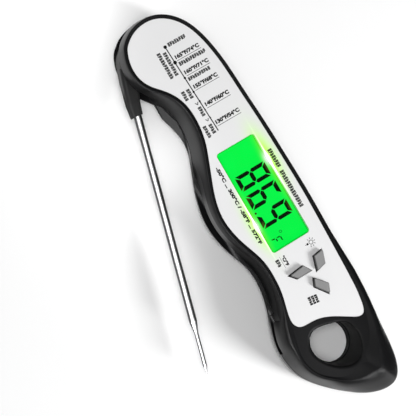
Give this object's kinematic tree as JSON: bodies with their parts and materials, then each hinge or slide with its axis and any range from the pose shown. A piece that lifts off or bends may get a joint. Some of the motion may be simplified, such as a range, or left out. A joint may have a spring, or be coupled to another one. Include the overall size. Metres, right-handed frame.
{
  "type": "folding digital meat thermometer",
  "caption": "Pocket thermometer with a wavy finger-grip handle, lit display, push buttons, hanging hole and a pointed steel probe that folds into the handle's side.",
  "frame": {"origin": "a point of the flat back face, at the handle's mid length", "axes": "+X along the handle from the probe head to the tail, -Y the finger-grip side, +Z out of the display"},
  "size_m": [0.1623, 0.0672, 0.0186],
  "materials": {
    "black_plastic": "satin black moulded ABS",
    "panel_white": "near-white printed panel, satin",
    "clear_lens": "clear display window",
    "display": "display glass lit green from behind",
    "backlight": "light guide, glowing green",
    "button_grey": "grey button caps",
    "boot_black": "black hub and boot",
    "probe_steel": "polished stainless steel",
    "steel": "plated steel",
    "magnet": "nickel-plated magnet",
    "rubber_black": "sealing rubber",
    "board_green": "circuit board with green solder mask",
    "frame_white": "white moulded carrier",
    "acetal": "natural acetal bush",
    "cell": "coin cell can",
    "brass": "plated contact strip",
    "wire_jacket": "insulated lead",
    "bead": "glass thermistor bead",
    "reed_glass": "glass reed capsule"
  },
  "bodies": {
    "handle": {"front_housing": "black_plastic", "rear_housing": "black_plastic", "housing_gasket": "rubber_black", "faceplate": "panel_white", "lcd_window": "clear_lens", "lcd_glass": "display", "lcd_frame": "frame_white", "backlight_panel": "backlight", "backlight_led": "backlight", "zebra_connector": "rubber_black", "circuit_board": "board_green", "chip_cover": "boot_black", "tact_switches": "steel", "button_springs": "rubber_black", "reed_switch": "reed_glass", "coin_cell": "cell", "battery_holder": "frame_white", "battery_contact_positive": "brass", "battery_contact_negative": "brass", "hinge_pin": "steel", "friction_washer": "steel", "board_lead": "wire_jacket", "housing_screws": "steel", "board_screws": "steel", "magnet_upper": "magnet", "magnet_lower": "magnet"},
    "probe": {"probe_hub": "boot_black", "hub_bushes": "acetal", "hub_seals": "rubber_black", "auto_on_magnet": "magnet", "probe_tube": "probe_steel", "probe_tip": "probe_steel", "thermistor": "bead", "probe_lead": "wire_jacket"},
    "battery_cover": {"battery_cover": "black_plastic", "battery_cover_seal": "rubber_black"},
    "button_light": {"button_light": "button_grey"},
    "button_unit": {"button_unit": "button_grey"},
    "button_hold": {"button_hold": "button_grey"}
  },
  "joints": [
    {"name": "probe_fold", "type": "hinge", "parent": "handle", "child": "probe", "pos_m": [-0.0655, -0.0085, 0.008], "axis": [0, 0, -1], "range_deg": [-15.8, 164.2]},
    {"name": "battery_cover_twist", "type": "hinge", "parent": "handle", "child": "battery_cover", "pos_m": [0.002, 0.002, 0.001], "axis": [0, 0, 1], "range_deg": [0, 40]},
    {"name": "button_light_press", "type": "slide", "parent": "handle", "child": "button_light", "axis": [0, 0, -1], "range_m": [0, 0.0004], "stiffness_N_per_m": 300},
    {"name": "button_unit_press", "type": "slide", "parent": "handle", "child": "button_unit", "axis": [0, 0, -1], "range_m": [0, 0.0004], "stiffness_N_per_m": 300},
    {"name": "button_hold_press", "type": "slide", "parent": "handle", "child": "button_hold", "axis": [0, 0, -1], "range_m": [0, 0.0004], "stiffness_N_per_m": 300}
  ]
}
